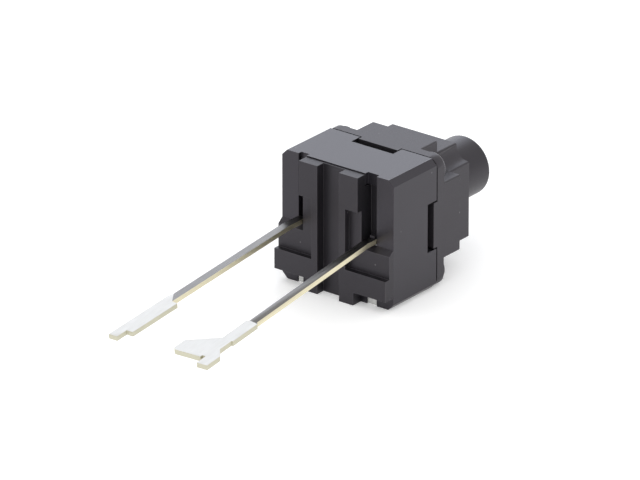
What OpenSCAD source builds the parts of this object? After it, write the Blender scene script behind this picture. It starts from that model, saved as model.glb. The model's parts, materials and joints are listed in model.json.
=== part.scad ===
// Tactile push button switch, 12 mm class, with a round plunger and two long rear leads.
// The body lies on one flat side, the plunger points along +Y and the leads run out along -Y.
// The origin is the centre of the housing's underside.

/* [Housing] */
// Width and height of the square body
body_w = 12.0; // [11.2:0.1:13.4]
// Length of the housing from its rear rim to the parting plane
housing_len = 6.05; // [5.35:0.05:8]
// Thickness of the housing's side walls
housing_wall = 1.1; // [0.9:0.05:1.2]
// Thickness of the housing's rear lip
rear_lip = 1.9; // [1.7:0.05:2.2]
// Chamfer on the housing's four long edges
edge_chamfer = 0.55; // [0.2:0.05:0.8]
// Width of the notch that takes each clip tab
window_w = 4.5; // [4:0.1:5.2]
// Length of that notch, back from the parting plane
window_len = 1.25; // [1.15:0.05:1.6]

/* [Terminal base] */
// Width of the recessed panel between the two ribs
panel_w = 2.35; // [1.8:0.05:2.8]
// How far the panel stands behind the rear rim
panel_proud = 0.2; // [0.1:0.01:0.3]
// Distance between the outer faces of the ribs
ribs_w = 6.3; // [5.6:0.02:7]
// How far the ribs and the panel lie to the left of the middle
ribs_left = 0.17; // [0:0.01:0.2]
// How far the ribs and the foot block stand behind the rear rim
rib_proud = 1.11; // [0.9:0.01:1.4]
// How far the top of the ribs stays below the top of the housing
rib_top_drop = 0.1; // [0.05:0.05:0.4]
// Distance between the outer faces of the two lead slots
slots_w = 8.4; // [8.3:0.02:8.6]
// Depth of the lead slots, ahead of the rear rim
slot_depth = 0.85; // [0.75:0.05:1]
// Depth of the nick that each slot leaves in the housing's top wall
nick_depth = 0.4; // [0.2:0.05:0.6]
// Height of the ledge on top of the foot block
ledge_z = 3.1; // [2.6:0.1:3.6]
// Height of the underside of the foot block's wings
wing_z = 1.2; // [1.15:0.05:1.5]
// Width of the foot block below its wings
foot_w = 5.06; // [4.4:0.02:5.6]
// How far the shoulder pads stand behind the rear rim
pad_proud = 0.54; // [0.3:0.02:0.8]
// Height at which the shoulder pads start to slope back
pad_z = 5.2; // [4.6:0.05:5.2]
// Height at which the slope meets the rear rim
pad_top_z = 5.65; // [5.3:0.05:5.7]
// Distance between the inner faces of the two rib pockets
pocket_gap = 3.65; // [3.2:0.05:4.2]
// Height of the top of the rib pockets
pocket_top_z = 8.7; // [7.6:0.1:9.2]
// Inner diameter of the collar that locates the dome
collar_id = 6.0; // [5.9:0.05:6.2]
// Outer diameter of that collar
collar_od = 7.9; // [7.8:0.05:8]
// Height of that collar
collar_h = 0.5; // [0.3:0.05:0.6]

/* [Front cover] */
// Thickness of the square flange
flange_t = 1.05; // [0.9:0.05:1.4]
// Radius of the flange's corners
corner_r = 1.0; // [0.6:0.05:1.2]
// Width of the seam between the housing and the flange
seam_w = 0.12; // [0.06:0.02:0.2]
// Depth of that seam
seam_depth = 0.3; // [0.15:0.05:0.45]
// Diameter of the round post at each corner of the flange
post_d = 2.6; // [2.2:0.05:2.8]
// How far the posts stay inside the sides of the body
post_set = 0.04; // [0.02:0.01:0.2]
// How far the posts stand on the flange
post_h = 0.34; // [0.24:0.02:0.6]
// Radius of the rim of the posts
post_rim = 0.18; // [0.05:0.01:0.2]
// Thickness of the wide cross on the flange
cross_t = 2.25; // [1.6:0.05:2.8]
// Width of the arms of the wide cross and of the nose
arm_w = 7.05; // [6.8:0.05:7.4]
// Radius of the outer corners of those arms
arm_r = 0.2; // [0.1:0.05:0.4]
// Thickness of the nose on the wide cross
nose_t = 2.75; // [2:0.05:3.4]
// How far the nose stays inside the sides of the body
nose_inset = 1.1; // [0.6:0.05:1.2]
// Radius of the inner corners of the cross and nose
notch_r = 1.2; // [0.8:0.05:1.3]
// Width of each clip tab
tab_w = 4.2; // [3.8:0.05:4.3]
// Length of each clip tab behind the parting plane
tab_len = 0.4; // [0.3:0.05:0.8]
// Width of the tongue under each clip tab
tongue_w = 3.8; // [3.2:0.05:4.1]
// Thickness of that tongue
tongue_t = 0.7; // [0.6:0.05:0.8]
// Length of that tongue behind the parting plane
tongue_len = 1.1; // [1:0.05:1.6]
// How far the tongue's round end stands out in the middle
tongue_bulge = 0.4; // [0.2:0.05:0.5]
// Depth left in the shoulder's well when the plunger is pressed home
well_spare = 0.1; // [0.05:0.05:0.4]
// Diameter of that well
well_d = 8.2; // [8:0.05:8.3]

/* [Plunger] */
// Diameter of the plunger's stem, which takes a cap
stem_d = 5.4; // [5:0.05:5.5]
// Diameter of the stretch that runs in the cover's bore
bearing_d = 6.0; // [5.9:0.02:6.2]
// How far that stretch stands out of the nose
bearing_out = 0.9; // [0.9:0.05:1.4]
// How far the stem stands out of the nose
stem_out = 6.1; // [4:0.05:9]
// Radius of the edge at the stem's tip
tip_r = 0.35; // [0.15:0.05:0.6]
// Diameter of the shoulder that keeps the plunger in
shoulder_d = 7.6; // [7.5:0.05:7.7]
// Thickness of the shoulder
shoulder_t = 1.2; // [1:0.05:1.4]
// Diameter of the spigot inside the spring
spigot_d = 5.0; // [4.4:0.05:5.4]
// Diameter of the pip that presses the dome
pip_d = 2.0; // [1.4:0.05:2.4]
// Height of that pip
pip_h = 0.4; // [0.3:0.05:0.6]
// Travel of the plunger
travel = 0.8; // [0.5:0.05:0.85]

/* [Dome and spring] */
// Diameter of the tactile dome
dome_d = 5.5; // [5:0.05:5.7]
// Height of the dome
dome_h = 0.7; // [0.6:0.05:0.9]
// Thickness of the dome's sheet
dome_t = 0.1; // [0.08:0.01:0.12]
// Gap between the pip and the dome at rest
dome_gap = 0.3; // [0.28:0.01:0.4]
// Mean diameter of the return spring
spring_d = 7.0; // [6.8:0.05:7.1]
// Diameter of the spring's wire
wire_d = 0.4; // [0.3:0.02:0.45]
// Number of turns of the spring
spring_turns = 6; // [4:1:7]

/* [Terminals] */
// Distance between the two leads at the body
lead_pitch = 7.62; // [6.72:0.02:8.52]
// Width of the lead strip
lead_w = 0.75; // [0.6:0.01:0.76]
// Thickness of the terminal sheet
lead_t = 0.45; // [0.35:0.01:0.5]
// How far the upright strip of each terminal lies ahead of the rear rim
strip_set = 0.05; // [0.02:0.01:0.2]
// Inner radius of the bend between that strip and the lead
bend_r = 0.15; // [0.05:0.05:0.2]
// Length of the straight stretch of the left lead, behind the rear rim
left_root = 2.4; // [1.4:0.1:3.5]
// Length of the left lead between its bend and its flat end
left_reach = 14.9; // [8:0.1:20]
// Angle at which the left lead slopes down
left_droop = 4.8; // [0:0.1:5]
// Angle at which the left lead turns towards the middle
left_turn = 0.6; // [0:0.1:3]
// Length of the straight stretch of the right lead, behind the rear rim
right_root = 1.2; // [1.1:0.1:3.5]
// Length of the right lead between its bend and its flat end
right_reach = 16.4; // [8:0.1:20]
// Angle at which the right lead slopes down
right_droop = 4.6; // [0:0.1:5]
// Angle at which the right lead spreads outwards
right_splay = 3.2; // [0:0.1:6]
// Width of the tail under the left lead
left_tail_w = 0.5; // [0.4:0.02:0.6]
// Distance from the middle of the switch to the middle of that tail
left_tail_x = 4.0; // [3.9:0.01:4.1]
// Width of the tail under the right lead
right_tail_w = 0.95; // [0.8:0.02:1]
// Distance from the middle of the switch to the middle of that tail
right_tail_x = 3.7; // [3.65:0.01:3.8]
// Width of the leg that carries each contact inside
leg_w = 0.5; // [0.4:0.05:0.6]
// Width of the contact strips inside
contact_w = 0.8; // [0.6:0.05:0.9]
// Thickness of the contact strips inside
contact_t = 0.25; // [0.2:0.01:0.3]
// Diameter of the centre contact
contact_d = 1.0; // [0.8:0.05:1.4]
// How far the centre contact stands above the floor under the dome
contact_rise = 0.05; // [0.02:0.01:0.1]

/* [Lead ends] */
// Length of the left end's neck
blade_neck = 1.2; // [0.6:0.05:2]
// How far the left end's outer edge stands outside the strip
blade_set = 0.2; // [0.05:0.01:0.3]
// Width of the left end's blade
blade_w = 1.55; // [1.2:0.05:2]
// Length of the left end's blade
blade_len = 6.05; // [5:0.05:9]
// Width of the left end's tip
blade_tip_w = 0.9; // [0.5:0.05:1.1]
// Length of the left end's tip
blade_tip_len = 1.3; // [1:0.1:2.4]
// How far the right end's outer edge stands outside the strip
fork_set = 0.22; // [0.04:0.01:0.3]
// Width of the right end's neck
fork_neck_w = 1.15; // [1.1:0.05:1.4]
// Length of the right end's neck
fork_neck = 3.75; // [3:0.05:5]
// Width of the right end's waist
fork_waist_w = 1.0; // [0.8:0.05:1.05]
// Length of the right end's waist
fork_waist = 1.65; // [1.2:0.05:2.2]
// Distance from the start of the right end to the wing
wing_start = 3.6; // [3:0.05:4.2]
// How far the wing reaches out
wing_out = 2.5; // [1.5:0.05:3]
// Length of the wing's slanted back edge, along the lead
wing_back = 1.95; // [1.2:0.05:2.4]
// Length of the wing's outer edge
wing_len = 1.75; // [1.2:0.05:2.2]
// Cut at the wing's outer front corner
wing_corner = 0.25; // [0.1:0.05:0.4]
// Width of the notch between the wing and the foot
fork_notch_w = 0.35; // [0.2:0.05:0.4]
// Depth of that notch
fork_notch = 0.3; // [0.1:0.05:0.6]
// Distance from the outer edge of the waist to the foot
foot_set = 0.68; // [0.5:0.02:0.8]
// Width of the right end's foot
fork_foot_w = 1.05; // [0.8:0.05:1.3]
// How far the foot stands past the wing
fork_foot_out = 1.0; // [0.6:0.05:1.4]
// Length of the slanted edge between the waist and the foot, along the lead
foot_slope = 1.05; // [0.6:0.05:1.3]

/* [Clearances] */
// Gap round the terminal base's core in the housing
base_gap = 0.1; // [0.05:0.01:0.12]
// Radial gap between the plunger and its bore
stem_gap = 0.06; // [0.03:0.01:0.1]
// Gap between the tongues and the housing's walls
tongue_gap = 0.05; // [0.03:0.01:0.1]
// Gap between the spring and each of its seats
spring_gap = 0.04; // [0.02:0.01:0.1]
// Gap between each tail and its notch, and between the tail and the ground
tail_gap = 0.06; // [0.03:0.01:0.1]
// Gap beside each lead where it passes the housing's lip
lip_gap = 0.01; // [0.005:0.005:0.015]

/* [Hidden] */
$fn = 48;
cut = 0.5;
half_w = body_w / 2;
inner_half = half_w - housing_wall;
seam_y = housing_len + seam_w;
cover_y = housing_len + flange_t;
nose_y = cover_y + cross_t;
front_y = nose_y + nose_t;
tip_y = front_y + stem_out;
well_depth = shoulder_t + travel + well_spare;
well_y = housing_len + well_depth;
shoulder_y = well_y - shoulder_t;
pip_y = rear_lip + dome_h + dome_gap;
spring_y0 = rear_lip + collar_h + spring_gap + wire_d / 2;
spring_y1 = shoulder_y - spring_gap - wire_d / 2;
post_in = half_w - post_set - post_d / 2;
core_half = slots_w / 2 - base_gap;
core_low = housing_wall + base_gap;
core_top = body_w - core_low;
rib_top = body_w - rib_top_drop;
lead_x = lead_pitch / 2;
strip_in = lead_x - lead_w / 2;
leg_out = strip_in + leg_w;
low_contact_z = half_w - dome_d * 0.35 - contact_w / 2;
low_contact_in = dome_d * 0.3;
dome_r = (pow(dome_d / 2, 2) + pow(dome_h, 2)) / (2 * dome_h);
tongue_r = (pow(tongue_w / 2, 2) + pow(tongue_bulge, 2)) / (2 * tongue_bulge);
tongue_a = asin(tongue_w / 2 / tongue_r);
tongue_z = body_w - housing_wall - tongue_gap - tongue_t;
arc_steps = 8;
wire_sides = 8;
turn_steps = 18;
closed_turns = 0.75;
closed_pitch = wire_d * 1.06;
moulded = [0.27, 0.26, 0.27];
moulded_light = [0.31, 0.30, 0.32];
plated = [0.76, 0.75, 0.72];
sprung = [0.62, 0.63, 0.65];

// Places a shape whose y is measured from the housing's rear rim
module from_rim() translate([0, -housing_len / 2, 0]) children();

// Box between two corners
module slab(x0, x1, y0, y1, z0, z1) translate([x0, y0, z0]) cube([x1 - x0, y1 - y0, z1 - z0]);

// Extrudes an outline, centred on the plunger's axis, from y0 to y1
module along(y0, y1) translate([0, y1, half_w]) rotate([90, 0, 0]) linear_extrude(y1 - y0) children();

// Stands a turned shape on the plunger's axis at y0, with its own z along +Y
module on_axis(y0) translate([0, y0, half_w]) rotate([-90, 0, 0]) children();

// Repeats a shape of the top side on the four sides of the body
module four_sides() translate([0, 0, half_w]) for (i = [0:3]) rotate([0, 90 * i, 0])
    translate([0, 0, -half_w]) children();

function turned(p, a) = [p.x * cos(a) - p.y * sin(a), p.x * sin(a) + p.y * cos(a)];
function arc(centre, r, a0, a1) =
    [for (k = [0:arc_steps]) let (a = a0 + (a1 - a0) * k / arc_steps) centre + r * [cos(a), sin(a)]];
function quadrants(points) = [for (q = [0:3], p = points) turned(p, 90 * q)];

// Outline of a square with chamfered corners
function chamfered(h, c) = quadrants([[h, h - c], [h - c, h]]);
// Outline of a square with round corners
function rounded(h, r) = quadrants(arc([h - r, h - r], r, 0, 90));
// Outline of a cross whose corners are round
function cross_outline(h, arm) =
    let (r = min(notch_r, h - arm - arm_r))
    quadrants(concat(arc([h - arm_r, arm - arm_r], arm_r, 0, 90),
                     arc([arm + r, arm + r], r, 270, 180),
                     arc([arm - arm_r, h - arm_r], arm_r, 0, 90)));

// Square tube with a lip round its rear opening and a notch for a clip tab in each side
module housing() color(moulded_light) from_rim() difference() {
    along(0, housing_len) polygon(chamfered(half_w, edge_chamfer));
    along(rear_lip, housing_len + cut) square(2 * inner_half, center = true);
    along(-cut, rear_lip + cut) square([slots_w, 2 * inner_half], center = true);
    for (side = [-1, 1])
        slab(side * lead_x - lead_w / 2 - lip_gap, side * lead_x + lead_w / 2 + lip_gap,
             -cut, rear_lip + cut, housing_wall, body_w - housing_wall);
    slab(-slots_w / 2, -ribs_w / 2 - ribs_left, -cut, nick_depth, half_w, body_w + cut);
    slab(ribs_w / 2 - ribs_left, slots_w / 2, -cut, nick_depth, half_w, body_w + cut);
    slab(-left_tail_x - left_tail_w / 2 - tail_gap, -left_tail_x + left_tail_w / 2 + tail_gap,
         -cut, slot_depth, -cut, half_w);
    slab(right_tail_x - right_tail_w / 2 - tail_gap, right_tail_x + right_tail_w / 2 + tail_gap,
         -cut, slot_depth, -cut, half_w);
    four_sides() slab(-window_w / 2, window_w / 2, housing_len - window_len, housing_len + cut,
                      body_w - housing_wall - cut, body_w + cut);
}

// Leg and contact strip that lie inside the base, for the terminal on the left
module left_inner() {
    slab(-leg_out, -strip_in, strip_set, rear_lip, low_contact_z, low_contact_z + contact_w);
    slab(-leg_out, -low_contact_in, rear_lip - contact_t, rear_lip,
         low_contact_z, low_contact_z + contact_w);
}

// The same on the right, where the contact strip runs below the floor to the centre contact
module right_inner() {
    slab(strip_in, leg_out, strip_set, rear_lip - contact_t,
         half_w - contact_w / 2, half_w + contact_w / 2);
    slab(-contact_w / 2, leg_out, rear_lip - 2 * contact_t, rear_lip - contact_t,
         half_w - contact_w / 2, half_w + contact_w / 2);
    on_axis(rear_lip - 1.5 * contact_t) cylinder(d = contact_d, h = 1.5 * contact_t + contact_rise);
}

// Rear insert: a core in the housing, two ribs with pockets, shoulder pads and a foot block
module terminal_base() color(moulded) from_rim() difference() {
    union() {
        slab(-core_half, core_half, slot_depth, rear_lip, core_low, core_top);
        translate([-ribs_left, 0, 0]) {
            slab(-ribs_w / 2, ribs_w / 2, -panel_proud, slot_depth, core_low, core_top);
            slab(-ribs_w / 2, ribs_w / 2, -rib_proud, 0, wing_z, rib_top);
        }
        slab(-foot_w / 2, foot_w / 2, -rib_proud, 0, 0, ledge_z);
        slab(-half_w, half_w, -rib_proud, 0, wing_z, ledge_z);
        translate([-half_w, 0, 0]) rotate([90, 0, 90]) linear_extrude(body_w)
            polygon([[0, wing_z], [-pad_proud, wing_z], [-pad_proud, pad_z], [0, pad_top_z]]);
        on_axis(rear_lip) difference() {
            cylinder(d = collar_od, h = collar_h);
            translate([0, 0, -cut]) cylinder(d = collar_id, h = collar_h + 2 * cut);
        }
    }
    translate([-ribs_left, 0, 0]) {
        slab(-panel_w / 2, panel_w / 2, -rib_proud - cut, -panel_proud, -cut, body_w + cut);
        slab(pocket_gap / 2, half_w, -rib_proud - cut, -pad_proud, ledge_z, pocket_top_z);
        slab(-half_w + ribs_left, -pocket_gap / 2, -rib_proud - cut, -pad_proud, ledge_z, pocket_top_z);
    }
    left_inner();
    right_inner();
    strip(-1, left_root);
    strip(1, right_root);
}

// Round post with a rounded rim, on the flange
module corner_post() rotate_extrude() polygon(concat(
    [[0, 0], [post_d / 2, 0]],
    arc([post_d / 2 - post_rim, post_h - post_rim], post_rim, 0, 90), [[0, post_h]]));

// Flange with corner posts, wide cross and nose, with a clip tab and a tongue on each side
module front_cover() color(moulded) from_rim() difference() {
    union() {
        along(housing_len, seam_y) polygon(rounded(half_w - seam_depth, corner_r));
        along(seam_y, cover_y) polygon(rounded(half_w, corner_r));
        along(cover_y, nose_y) polygon(cross_outline(half_w, arm_w / 2));
        along(nose_y, front_y) polygon(cross_outline(half_w - nose_inset, arm_w / 2));
        four_sides() {
            translate([post_in, cover_y, half_w + post_in]) rotate([-90, 0, 0]) corner_post();
            slab(-tab_w / 2, tab_w / 2, housing_len - tab_len, seam_y, tongue_z, body_w);
            translate([0, 0, tongue_z]) linear_extrude(tongue_t) polygon(concat(
                [[tongue_w / 2, housing_len], [-tongue_w / 2, housing_len]],
                arc([0, housing_len - tongue_len + tongue_r], tongue_r,
                    270 - tongue_a, 270 + tongue_a)));
        }
    }
    on_axis(housing_len - cut) cylinder(d = well_d, h = well_depth + cut);
    on_axis(housing_len) cylinder(d = bearing_d + 2 * stem_gap, h = front_y - housing_len + cut);
}

// Round plunger: pip, spigot inside the spring, shoulder, bearing and stem with a round-edged tip
module plunger() color(moulded) from_rim() on_axis(0) rotate_extrude() polygon(concat(
    [[0, pip_y], [pip_d / 2, pip_y], [pip_d / 2, pip_y + pip_h], [spigot_d / 2, pip_y + pip_h],
     [spigot_d / 2, shoulder_y], [shoulder_d / 2, shoulder_y], [shoulder_d / 2, well_y],
     [bearing_d / 2, well_y], [bearing_d / 2, front_y + bearing_out],
     [stem_d / 2, front_y + bearing_out]],
    arc([stem_d / 2 - tip_r, tip_y - tip_r], tip_r, 0, 90), [[0, tip_y]]));

// Height of the wire's middle after t turns, with closed turns at both ends
function coil_y(t) =
    let (total = spring_y1 - spring_y0, open_turns = spring_turns - 2 * closed_turns,
         open_pitch = (total - 2 * closed_turns * closed_pitch) / open_turns)
    t < closed_turns ? t * closed_pitch
    : t > spring_turns - closed_turns ? total - (spring_turns - t) * closed_pitch
    : closed_turns * closed_pitch + (t - closed_turns) * open_pitch;

// Return spring round the spigot, between the collar and the shoulder
module return_spring() color(sprung) from_rim() on_axis(spring_y0) {
    rings = spring_turns * turn_steps;
    points = [for (i = [0:rings], k = [0:wire_sides - 1])
        let (a = 360 * i / turn_steps, b = 360 * k / wire_sides,
             r = spring_d / 2 + wire_d / 2 * cos(b))
        [r * cos(a), r * sin(a), coil_y(i / turn_steps) + wire_d / 2 * sin(b)]];
    sides = [for (i = [0:rings - 1], k = [0:wire_sides - 1])
        let (n = (k + 1) % wire_sides, at = i * wire_sides)
        [at + k, at + wire_sides + k, at + wire_sides + n, at + n]];
    polyhedron(points, concat(sides, [[for (k = [0:wire_sides - 1]) k],
        [for (k = [wire_sides - 1:-1:0]) rings * wire_sides + k]]), convexity = 10);
}

// Thin tactile dome that rests on the floor of the base, inside the collar
module snap_dome() color(sprung) from_rim() on_axis(rear_lip) rotate_extrude() polygon(concat(
    arc([0, dome_h - dome_r], dome_r, asin((dome_r - dome_h) / dome_r), 90),
    arc([0, dome_h - dome_r], dome_r - dome_t, 90, asin((dome_r - dome_h) / (dome_r - dome_t)))));

// Upright strip that bends into the straight stretch of the lead
module strip(side, root) {
    under_z = half_w - lead_t / 2;
    bend = [strip_set - bend_r, under_z - bend_r];
    translate([side * lead_x - lead_w / 2, 0, 0]) rotate([90, 0, 90]) linear_extrude(lead_w)
        polygon(concat([[-root, under_z]], arc(bend, bend_r, 90, 0),
            [[strip_set, housing_wall], [strip_set + lead_t, housing_wall]],
            arc(bend, bend_r + lead_t, 0, 90), [[-root, under_z + lead_t]]));
}

// Strip and lead: the lead slopes down from its straight stretch, and its end takes the child
module lead(side, root, reach, droop, splay) {
    strip(side, root);
    translate([side * lead_x, -root, half_w]) rotate([droop, 0, splay]) {
        slab(-lead_w / 2, lead_w / 2, -reach, lead_t / 4, -lead_t / 2, lead_t / 2);
        translate([0, -reach, -lead_t / 2]) linear_extrude(lead_t) children();
    }
}

// Tail that shows in its notch under the foot block
module tail(x, w) slab(x - w / 2, x + w / 2, strip_set, strip_set + lead_t, tail_gap, housing_wall);

module left_terminal() color(plated) from_rim() {
    left_inner();
    tail(-left_tail_x, left_tail_w);
    edge = -lead_w / 2 - blade_set;
    shoulder = -blade_neck;
    blade_end = shoulder - blade_len;
    tip_end = blade_end - blade_tip_len;
    lead(-1, left_root, left_reach, left_droop, left_turn) polygon([
        [lead_w / 2, 0], [-lead_w / 2, 0], [edge, shoulder / 2], [edge, tip_end],
        [edge + blade_tip_w, tip_end], [edge + blade_tip_w, blade_end], [edge + blade_w, blade_end],
        [edge + blade_w, shoulder], [lead_w / 2, shoulder]]);
}

module right_terminal() color(plated) from_rim() {
    right_inner();
    tail(right_tail_x, right_tail_w);
    edge = -lead_w / 2 - fork_set;
    waist_x = edge + fork_waist_w;
    waist_end = -fork_neck - fork_waist;
    wing_x = edge - wing_out;
    wing_end = -wing_start - wing_back - wing_len;
    foot_x = edge + foot_set;
    notch_x = foot_x - fork_notch_w;
    foot_end = wing_end - fork_foot_out;
    lead(1, right_root, right_reach, right_droop, right_splay) polygon([
        [lead_w / 2, 0], [-lead_w / 2, 0], [edge, -blade_set], [edge, -wing_start],
        [wing_x, -wing_start - wing_back], [wing_x, wing_end + wing_corner],
        [wing_x + wing_corner, wing_end], [notch_x, wing_end], [notch_x, wing_end + fork_notch],
        [foot_x, wing_end + fork_notch], [foot_x, foot_end], [foot_x + fork_foot_w, foot_end],
        [foot_x + fork_foot_w, waist_end - foot_slope], [waist_x, waist_end], [waist_x, -fork_neck],
        [edge + fork_neck_w, -fork_neck], [edge + fork_neck_w, -blade_set]]);
}

housing();
terminal_base();
front_cover();
plunger();
return_spring();
snap_dome();
left_terminal();
right_terminal();
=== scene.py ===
import bpy, bmesh, json, math
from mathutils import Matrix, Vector

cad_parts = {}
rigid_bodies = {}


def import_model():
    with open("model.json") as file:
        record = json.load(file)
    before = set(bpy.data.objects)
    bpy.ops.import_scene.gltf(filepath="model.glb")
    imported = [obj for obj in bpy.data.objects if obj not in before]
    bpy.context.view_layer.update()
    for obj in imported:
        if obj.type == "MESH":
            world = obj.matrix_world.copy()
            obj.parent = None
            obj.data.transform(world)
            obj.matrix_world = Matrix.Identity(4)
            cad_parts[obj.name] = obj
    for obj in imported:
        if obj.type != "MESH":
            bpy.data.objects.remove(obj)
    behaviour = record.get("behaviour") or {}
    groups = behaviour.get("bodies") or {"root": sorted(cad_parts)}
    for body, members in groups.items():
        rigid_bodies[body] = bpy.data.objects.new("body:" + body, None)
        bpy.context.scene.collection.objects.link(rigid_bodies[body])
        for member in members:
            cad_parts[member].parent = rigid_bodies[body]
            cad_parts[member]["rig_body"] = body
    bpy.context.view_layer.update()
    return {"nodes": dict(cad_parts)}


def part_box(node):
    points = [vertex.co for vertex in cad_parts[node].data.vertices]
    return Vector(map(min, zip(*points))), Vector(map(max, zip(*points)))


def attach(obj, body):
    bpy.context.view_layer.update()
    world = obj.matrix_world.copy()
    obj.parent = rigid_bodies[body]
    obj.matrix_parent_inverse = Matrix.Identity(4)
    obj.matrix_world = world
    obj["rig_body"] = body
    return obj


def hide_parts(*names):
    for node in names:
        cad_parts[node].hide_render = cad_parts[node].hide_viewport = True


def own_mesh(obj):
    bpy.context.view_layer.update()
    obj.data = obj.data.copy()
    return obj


# Tactile push button switch, lying on one flat side with its two long leads towards the viewer.
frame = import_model()

# Camera: a long lens at the photograph's angle. A point inside the body, a little ahead of the rear
# rim, is the one it is set by, and that point's place in the picture is matched by moving the camera
# sideways and up. Distances in the picture are in pixels, those on the switch in metres.
picture_w, picture_h = 640, 480
film_mm = 36
body_px = (366.2, 215.0)
lens_px = 8479
px_per_mm = 11.69
azimuth, elevation = math.radians(37.92), math.radians(23.51)
rim_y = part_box("housing")[0].y
middle_from_rim = 0.004
body_middle = Vector((0, rim_y + middle_from_rim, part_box("housing")[1].z / 2))
back = Vector((math.sin(azimuth) * math.cos(elevation), -math.cos(azimuth) * math.cos(elevation),
               math.sin(elevation)))
right = Vector((math.cos(azimuth), math.sin(azimuth), 0))
up = back.cross(right)
metre_per_px = 0.001 / px_per_mm
camera = bpy.data.objects.new("camera", bpy.data.cameras.new("camera"))
bpy.context.scene.collection.objects.link(camera)
camera.data.sensor_width = film_mm
camera.data.lens = lens_px / picture_w * film_mm
camera.data.clip_start, camera.data.clip_end = 0.01, 20
camera.location = (body_middle + back * lens_px * metre_per_px
                   - right * (body_px[0] - picture_w / 2) * metre_per_px
                   - up * (picture_h / 2 - body_px[1]) * metre_per_px)
camera.rotation_mode = "QUATERNION"
camera.rotation_quaternion = (-back).to_track_quat("-Z", "Y")
bpy.context.scene.camera = camera

# Terminal base: the rear insert, injection moulded in black thermoplastic round the two terminals.
# Its ribs and foot block stand behind the housing's rim, and it is pushed into the housing from
# behind. All the moulded parts share the skin that is made here.
def shader_group(name, inputs, outputs):
    """An empty node group with named sockets; returns the group and its two end nodes."""
    group = bpy.data.node_groups.new(name, "ShaderNodeTree")
    for label, kind, value in inputs:
        socket = group.interface.new_socket(label, in_out="INPUT", socket_type=kind)
        socket.default_value = value
    for label, kind in outputs:
        group.interface.new_socket(label, in_out="OUTPUT", socket_type=kind)
    return group, group.nodes.new("NodeGroupInput"), group.nodes.new("NodeGroupOutput")


def add(tree, kind, links=(), **settings):
    """A node in a tree, with its settings and the sockets that feed it."""
    node = tree.nodes.new(kind)
    for key, value in settings.items():
        setattr(node, key, value)
    for socket, source in links:
        if hasattr(source, "is_output"):
            tree.links.new(source, node.inputs[socket])
        else:
            node.inputs[socket].default_value = source
    return node


def make_mould_skin():
    """Skin of a moulded black part: fine spark-eroded grain, soft flow clouds and pale dust specks."""
    group, given, made = shader_group(
        "mould_skin",
        [("Plastic", "NodeSocketColor", (0.03, 0.03, 0.03, 1)),
         ("Grain Size", "NodeSocketFloat", 9000.0),
         ("Clouding", "NodeSocketFloat", 0.25),
         ("Dust", "NodeSocketFloat", 0.5),
         ("Gloss", "NodeSocketFloat", 0.45)],
        [("Colour", "NodeSocketColor"), ("Roughness", "NodeSocketFloat"), ("Height", "NodeSocketFloat")])
    at = add(group, "ShaderNodeTexCoord").outputs["Object"]
    grain = add(group, "ShaderNodeTexNoise", [("Vector", at), ("Scale", given.outputs["Grain Size"]),
                                              ("Detail", 3.0), ("Roughness", 0.65)])
    cloud = add(group, "ShaderNodeTexNoise", [("Vector", at), ("Scale", 320.0), ("Detail", 2.0)])
    shade = add(group, "ShaderNodeMapRange", [("Value", cloud.outputs["Fac"]), ("From Min", 0.3),
                                              ("From Max", 0.7), ("To Min", 1.0), ("To Max", 1.6)])
    tint = add(group, "ShaderNodeMix", [("Factor", given.outputs["Clouding"]),
                                        ("A", 1.0), ("B", shade.outputs["Result"])])
    plastic = add(group, "ShaderNodeVectorMath", [("Vector", given.outputs["Plastic"]),
                                                  ("Scale", tint.outputs["Result"])],
                  operation="SCALE")
    specks = add(group, "ShaderNodeTexVoronoi", [("Vector", at), ("Scale", 900.0)])
    speck = add(group, "ShaderNodeMapRange", [("Value", specks.outputs["Distance"]), ("From Min", 0.03),
                                              ("From Max", 0.09), ("To Min", 1.0), ("To Max", 0.0)])
    patch = add(group, "ShaderNodeTexNoise", [("Vector", at), ("Scale", 700.0), ("Detail", 1.0)])
    few = add(group, "ShaderNodeMapRange", [("Value", patch.outputs["Fac"]), ("From Min", 0.56),
                                            ("From Max", 0.62), ("To Min", 0.0), ("To Max", 1.0)])
    some = add(group, "ShaderNodeMath", [(0, speck.outputs["Result"]), (1, few.outputs["Result"])],
               operation="MULTIPLY")
    dust = add(group, "ShaderNodeMath", [(0, some.outputs["Value"]), (1, given.outputs["Dust"])],
               operation="MULTIPLY")
    colour = add(group, "ShaderNodeMix", [("Factor", dust.outputs["Value"]),
                                          ("A", plastic.outputs["Vector"]),
                                          ("B", (0.35, 0.34, 0.33, 1))], data_type="RGBA")
    rough = add(group, "ShaderNodeMapRange", [("Value", grain.outputs["Fac"]), ("From Min", 0.3),
                                              ("From Max", 0.7), ("To Min", -0.05), ("To Max", 0.07)])
    roughness = add(group, "ShaderNodeMath", [(0, rough.outputs["Result"]), (1, given.outputs["Gloss"])],
                    operation="ADD")
    group.links.new(colour.outputs["Result"], made.inputs["Colour"])
    group.links.new(roughness.outputs["Value"], made.inputs["Roughness"])
    group.links.new(grain.outputs["Fac"], made.inputs["Height"])
    return group


mould_skin = make_mould_skin()


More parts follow.
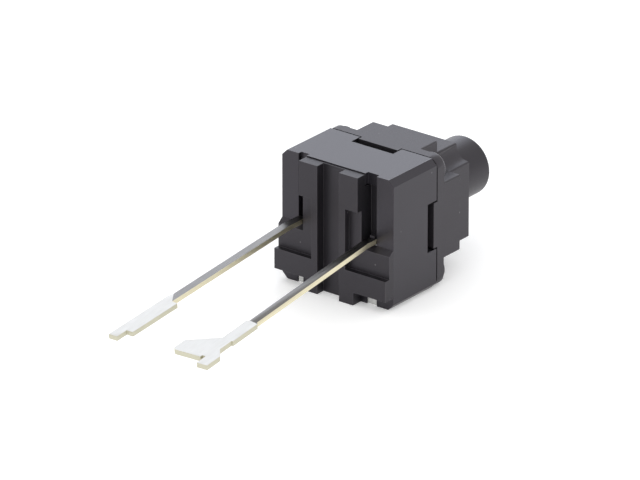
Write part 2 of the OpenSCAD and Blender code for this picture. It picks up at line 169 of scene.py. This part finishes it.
def moulded_black(name, plastic, gloss, clouding=0.25, dust=0.5):
    """Material of one moulded part, from the shared skin with the part's own values."""
    material = bpy.data.materials.new(name)
    material.use_nodes = True
    tree = material.node_tree
    shader = tree.nodes["Principled BSDF"]
    skin = add(tree, "ShaderNodeGroup", node_tree=mould_skin)
    skin.inputs["Plastic"].default_value = (*plastic, 1)
    skin.inputs["Gloss"].default_value = gloss
    skin.inputs["Clouding"].default_value = clouding
    skin.inputs["Dust"].default_value = dust
    shader.inputs["Specular Tint"].default_value = (0.95, 0.88, 1.0, 1)
    bump = add(tree, "ShaderNodeBump", [("Height", skin.outputs["Height"]), ("Strength", 0.12),
                                        ("Distance", 0.00002)])
    tree.links.new(skin.outputs["Colour"], shader.inputs["Base Color"])
    tree.links.new(skin.outputs["Roughness"], shader.inputs["Roughness"])
    tree.links.new(bump.outputs["Normal"], shader.inputs["Normal"])
    return material


def eased(node, radius, steps=3, sharp=25, round_from=None, round_radius=0.0, keep=None,
          split=False):
    """A new mesh of a part in the frame, whose edges are eased to a small radius.
    Outer edges further along +Y than round_from get round_radius first.
    An edge for which keep(edge) is true stays sharp, and split cuts faces of many corners up.
    The eased faces take the part's second material."""
    weld = 2e-7
    flat = math.radians(0.5)
    smooth_below = math.radians(30)
    shape = bmesh.new()
    shape.from_mesh(frame["nodes"][node].data)
    bmesh.ops.remove_doubles(shape, verts=shape.verts, dist=weld)
    bmesh.ops.dissolve_limit(shape, angle_limit=flat, verts=shape.verts, edges=shape.edges)

    def soften(corners, size):
        bmesh.ops.bevel(shape, geom=corners, offset=size, segments=steps, profile=0.5,
                        affect="EDGES", clamp_overlap=True, material=1)

    def corner(edge):
        return (len(edge.link_faces) == 2 and edge.calc_face_angle(0) > math.radians(sharp)
                and not (keep and keep(edge)))

    if round_from is not None:
        soften([e for e in shape.edges if corner(e) and e.is_convex
                and min(v.co.y for v in e.verts) > round_from], round_radius)
        soften([e for e in shape.edges if corner(e)
                and max(v.co.y for v in e.verts) < round_from], radius)
    else:
        soften([e for e in shape.edges if corner(e)], radius)
    if split:
        bmesh.ops.triangulate(shape, faces=[f for f in shape.faces if len(f.verts) > 4])
    mesh = bpy.data.meshes.new(node + "_eased")
    shape.to_mesh(mesh)
    shape.free()
    piece = bpy.data.objects.new(node + "_eased", mesh)
    bpy.context.scene.collection.objects.link(piece)
    mesh.shade_smooth()
    mesh.set_sharp_from_angle(angle=smooth_below)
    level = piece.modifiers.new("level_faces", "WEIGHTED_NORMAL")
    level.keep_sharp = True
    level.weight = 100
    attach(piece, frame["nodes"][node]["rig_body"])
    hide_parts(node)
    return piece


base_edge = 0.00006
base = eased("terminal_base", base_edge)
base.data.materials.append(moulded_black("base_plastic", (0.010, 0.0095, 0.011), 0.44))
# The pale second material on the eased edges is a painted edge highlight.
base.data.materials.append(moulded_black("base_painted_edge_highlight", (0.045, 0.044, 0.048), 0.36, 0.9, 0.0))

# Terminals: two stampings of copper alloy sheet, silver plated, each with a contact inside the base,
# a lead, a flat end and a tail. The sheared sides show the bare yellowish alloy and the flat ends are
# whiter. Inside the housing, the faces higher than just below the body's middle are painted dark plastic
# as painted shade.
def strip_metal(name, colour, roughness, lustre):
    """Rolled and plated strip: fine draw lines along the lead and a slightly uneven lustre."""
    material = bpy.data.materials.new(name)
    material.use_nodes = True
    tree = material.node_tree
    shader = tree.nodes["Principled BSDF"]
    shader.inputs["Metallic"].default_value = 1.0
    at = add(tree, "ShaderNodeTexCoord").outputs["Object"]
    stretched = add(tree, "ShaderNodeMapping", [("Vector", at), ("Scale", (9000, 260, 9000))])
    lines = add(tree, "ShaderNodeTexNoise", [("Vector", stretched.outputs["Vector"]), ("Scale", 1.0),
                                             ("Detail", 3.0)])
    clouds = add(tree, "ShaderNodeTexNoise", [("Vector", at), ("Scale", 700.0), ("Detail", 3.0)])
    tone = add(tree, "ShaderNodeMix", [("Factor", clouds.outputs["Fac"]),
                                       ("A", (*[c * (1 - lustre) for c in colour], 1)),
                                       ("B", (*colour, 1))], data_type="RGBA")
    rough = add(tree, "ShaderNodeMapRange", [("Value", lines.outputs["Fac"]), ("From Min", 0.3),
                                             ("From Max", 0.7), ("To Min", roughness - 0.05),
                                             ("To Max", roughness + 0.08)])
    bump = add(tree, "ShaderNodeBump", [("Height", lines.outputs["Fac"]), ("Strength", 0.05),
                                        ("Distance", 0.00001)])
    tree.links.new(tone.outputs["Result"], shader.inputs["Base Color"])
    tree.links.new(rough.outputs["Result"], shader.inputs["Roughness"])
    tree.links.new(bump.outputs["Normal"], shader.inputs["Normal"])
    return material


lead_plating = strip_metal("lead_plating", (0.20, 0.195, 0.19), 0.3, 0.25)
sheared_alloy = strip_metal("sheared_alloy", (0.80, 0.74, 0.54), 0.42, 0.12)
white_silver = strip_metal("white_silver", (0.70, 0.70, 0.69), 0.6, 0.04)
# A dark plastic finish, used only as painted shade on the terminals inside the housing.
painted_root_shade = moulded_black("painted_root_shade", (0.016, 0.015, 0.017), 0.5)
sheared_silver = strip_metal("sheared_silver", (0.62, 0.60, 0.48), 0.55, 0.08)

finishes = (lead_plating, sheared_alloy, white_silver, sheared_silver, painted_root_shade)
plated, alloy_side, white, white_side, root_shade = range(len(finishes))
side_tilt = 0.6
strip_edge = 0.00003
root_reach = 0.0003
lead_root = {"left_terminal": 0.0024, "right_terminal": 0.0012}
lead_slope = {"left_terminal": 4.8, "right_terminal": 4.6}
lead_under = body_middle.z - 0.0002
bright_from = {"left_terminal": 0.0174, "right_terminal": 0.0177}
for name in ("left_terminal", "right_terminal"):
    root_y = rim_y - lead_root[name]
    terminal = eased(name, strip_edge, steps=2, split=True,
                     keep=lambda edge: any(abs(v.co.y - root_y) < root_reach for v in edge.verts))
    for finish in finishes:
        terminal.data.materials.append(finish)
    bright_y = rim_y - bright_from[name] * math.cos(math.radians(lead_slope[name]))
    for face in terminal.data.polygons:
        sheared = abs(face.normal.z) < side_tilt
        # Painted shade: terminal faces inside the housing above lead_under take the dark plastic finish.
        if face.center.y > rim_y:
            face.material_index = root_shade if face.center.z > lead_under else white
        elif face.center.y < bright_y:
            face.material_index = white_side if sheared else white
        else:
            face.material_index = alloy_side if sheared else plated

# Snap dome and return spring: tempered steel sheet and drawn steel wire, hidden inside.
# The dome lies loose in the base's collar and the spring stands round the plunger's spigot.
spring_steel = strip_metal("spring_steel", (0.60, 0.60, 0.62), 0.3, 0.1)
wire_edge = 0.000005
for name, keep in (("snap_dome", 0.2), ("return_spring", 0.8)):
    sprung = eased(name, wire_edge, steps=1, sharp=50)
    sprung.data.materials.append(spring_steel)
    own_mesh(sprung)

# Housing: a square tube moulded in black thermoplastic, which holds the base at the rear and takes
# the cover's four clips at the front. Its eased edges that face up are painted pale as a painted
# highlight.
housing_edge = 0.00007
facing_up = 0.85
housing = eased("housing", housing_edge)
housing.data.materials.append(moulded_black("housing_plastic", (0.011, 0.0105, 0.013), 0.34))
housing.data.materials.append(moulded_black("housing_painted_edge_highlight", (0.22, 0.22, 0.24), 0.3, 0.9, 0.0))
# Painted highlight: only the eased faces that face up keep the pale second material.
for face in housing.data.polygons:
    if face.normal.z < facing_up:
        face.material_index = 0

# Front cover: flange, wide cross and nose in one moulding, clipped to the housing's front. The cross
# and the nose have rounder edges than the housing. Its eased edges and the rims of its four corner posts
# are painted pale as a painted highlight. The plunger runs in its bore.
cover_edge = 0.00005
arm_edge = 0.00015
post_front = rim_y + 0.0075
notch_near, notch_far = 0.0034, 0.005


def in_notch(edge):
    """The cover's ledge in each corner notch is thinner than its rounding, so it stays sharp."""
    return all(v.co.y > post_front and notch_near < abs(v.co.x) < notch_far
               and notch_near < abs(v.co.z - body_middle.z) < notch_far for v in edge.verts)


cover = eased("front_cover", cover_edge, round_from=post_front, round_radius=arm_edge, keep=in_notch)
cover.data.materials.append(moulded_black("cover_plastic", (0.017, 0.016, 0.018), 0.44))
cover.data.materials.append(moulded_black("cover_painted_edge_highlight", (0.11, 0.11, 0.12), 0.28, 0.9, 0.0))
post_back = rim_y + 0.00705
rim_least, rim_most = 0.15, 0.97
# Painted highlight: the oblique faces of the post rims take the pale second material too.
for face in cover.data.polygons:
    if post_back < face.center.y < post_front and rim_least < face.normal.y < rim_most:
        face.material_index = 1

# Plunger: a round stem moulded in black thermoplastic, which slides in the cover's bore, takes a
# button cap on its end and is pushed back by the return spring.
plunger_edge = 0.00006
plunger = eased("plunger", plunger_edge)
plunger.data.materials.append(moulded_black("plunger_plastic", (0.006, 0.0055, 0.0065), 0.38))
# The pale second material on the eased edges is a painted edge highlight.
plunger.data.materials.append(moulded_black("plunger_painted_edge_highlight", (0.05, 0.05, 0.05), 0.36, 0.9, 0.0))

# Studio: a pale table in even light, with a large low softbox behind the switch. The level tops
# mirror that softbox to the viewer, while the sides mirror the table.
table_half = 1.5
table_drop = 0.00002
table_mesh = bpy.data.meshes.new("table_top")
table_mesh.from_pydata([(x * table_half, y * table_half, -table_drop) for x, y in
                        ((-1, -1), (1, -1), (1, 1), (-1, 1))], [], [(0, 1, 2, 3)])
table_top = bpy.data.objects.new("table_top", table_mesh)
bpy.context.scene.collection.objects.link(table_top)
paper = bpy.data.materials.new("paper")
paper.use_nodes = True
paper_shader = paper.node_tree.nodes["Principled BSDF"]
paper_shader.inputs["Base Color"].default_value = (0.9, 0.9, 0.9, 1)
paper_shader.inputs["Roughness"].default_value = 0.9
paper_shader.inputs["Emission Color"].default_value = (1, 1, 1, 1)
paper_shader.inputs["Emission Strength"].default_value = 0.28
table_mesh.materials.append(paper)

world = bpy.data.worlds.new("studio")
bpy.context.scene.world = world
world.use_nodes = True
sky = world.node_tree.nodes["Background"]
sky.inputs["Color"].default_value = (1, 1, 1, 1)
sky.inputs["Strength"].default_value = 1.08


def softbox(name, place, size, power, tint=(1, 1, 1)):
    """A square area light that faces the switch."""
    light = bpy.data.objects.new(name, bpy.data.lights.new(name, "AREA"))
    light.data.color = tint
    light.data.size = size
    light.data.energy = power
    light.location = place
    light.rotation_mode = "QUATERNION"
    light.rotation_quaternion = (Vector(place) - body_middle).to_track_quat("Z", "Y")
    bpy.context.scene.collection.objects.link(light)


softbox("behind", (-0.40, 0.52, 0.30), 0.5, 1.0, (0.80, 0.865, 1.0))
bpy.context.scene.view_settings.view_transform = "Standard"
